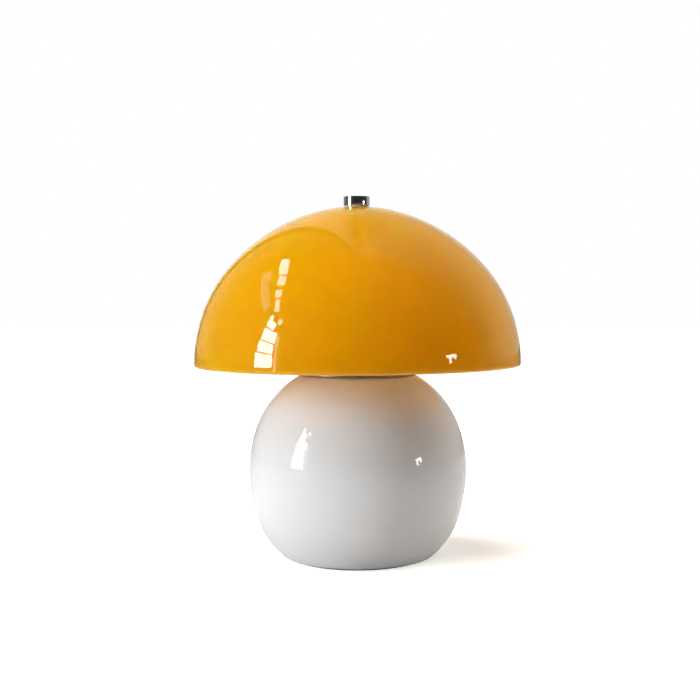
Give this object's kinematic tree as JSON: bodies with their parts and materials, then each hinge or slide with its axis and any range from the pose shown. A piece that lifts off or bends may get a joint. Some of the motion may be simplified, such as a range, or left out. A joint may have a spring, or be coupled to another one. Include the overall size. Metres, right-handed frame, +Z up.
{
  "type": "mushroom table lamp",
  "caption": "Mushroom table lamp: an amber glass dome with a chrome finial over a white opal glass globe, carried on a hoop around a screw-in bulb.",
  "frame": {"origin": "on the table, under the middle of the foot pad, which is the bottom centre of the box", "axes": "+Z up along the lamp's axis, +Y to the back, where the cord inlet is, +X to the right as seen from the front"},
  "size_m": [0.25, 0.25, 0.2789],
  "materials": {
    "amber_glass": "cased blown glass, opaque amber, glossy",
    "opal_glass": "blown opal glass, opaque white, glossy",
    "chrome": "polished chrome plate",
    "zinc_steel": "zinc-plated steel",
    "foam_rubber": "black foam rubber",
    "black_rubber": "moulded black rubber",
    "clear_silicone": "translucent silicone rubber",
    "white_plastic": "white thermoplastic, satin",
    "black_plastic": "black thermoplastic, satin",
    "ceramic": "cream moulded insert",
    "brass": "bright brass",
    "nickel": "nickel plate",
    "solder": "solder tip",
    "bulb_diffuser": "white opal diffuser",
    "brown_insulation": "brown wire insulation",
    "blue_insulation": "blue wire insulation"
  },
  "bodies": {
    "lamp": {"foot_pad": "foam_rubber", "base_globe": "opal_glass", "cord_grommet": "black_rubber", "plate_gasket": "black_rubber", "base_plate": "zinc_steel", "base_washer": "zinc_steel", "base_nut": "zinc_steel", "threaded_tube": "zinc_steel", "terminal_block": "white_plastic", "terminal_inserts": "brass", "terminal_screws": "zinc_steel", "block_screw": "zinc_steel", "wire_live": "brown_insulation", "wire_neutral": "blue_insulation", "cap_gasket": "clear_silicone", "neck_cap": "chrome", "ring_nuts": "white_plastic", "holder_dome": "white_plastic", "holder_insert": "ceramic", "centre_contact": "brass", "shell_contact": "brass", "lug_screws": "zinc_steel", "holder_skirt": "white_plastic", "hoop_bracket": "chrome", "hoop_screws": "chrome", "hoop_nuts": "zinc_steel", "shade_stud": "zinc_steel", "stud_nuts": "zinc_steel", "seat_washer": "zinc_steel", "seat_ring": "clear_silicone"},
    "shade": {"shade": "amber_glass", "shade_bush": "clear_silicone"},
    "finial_washer": {"finial_washer": "clear_silicone"},
    "finial": {"finial": "chrome"},
    "bulb": {"bulb_contact": "solder", "bulb_insulator": "black_plastic", "bulb_cap": "nickel", "bulb_collar": "white_plastic", "bulb_glass": "bulb_diffuser"}
  },
  "joints": [
    {"name": "shade_lift", "type": "slide", "parent": "lamp", "child": "shade", "axis": [0, 0, 1], "range_m": [0, 0.14]},
    {"name": "finial_rise", "type": "slide", "parent": "shade", "child": "finial_washer", "axis": [0, 0, 1], "range_m": [0, 0.006]},
    {"name": "finial_turn", "type": "hinge", "parent": "finial_washer", "child": "finial", "pos_m": [0, 0, 0.2717], "axis": [0, 0, 1], "range_deg": [0, 2160]},
    {"name": "bulb_lift", "type": "slide", "parent": "lamp", "child": "bulb", "axis": [0, 0, 1], "range_m": [0, 0.028]}
  ],
  "couplings": [
    {"joint": "finial_rise", "follows": "finial_turn", "m_per_rad": 0.00015915}
  ]
}
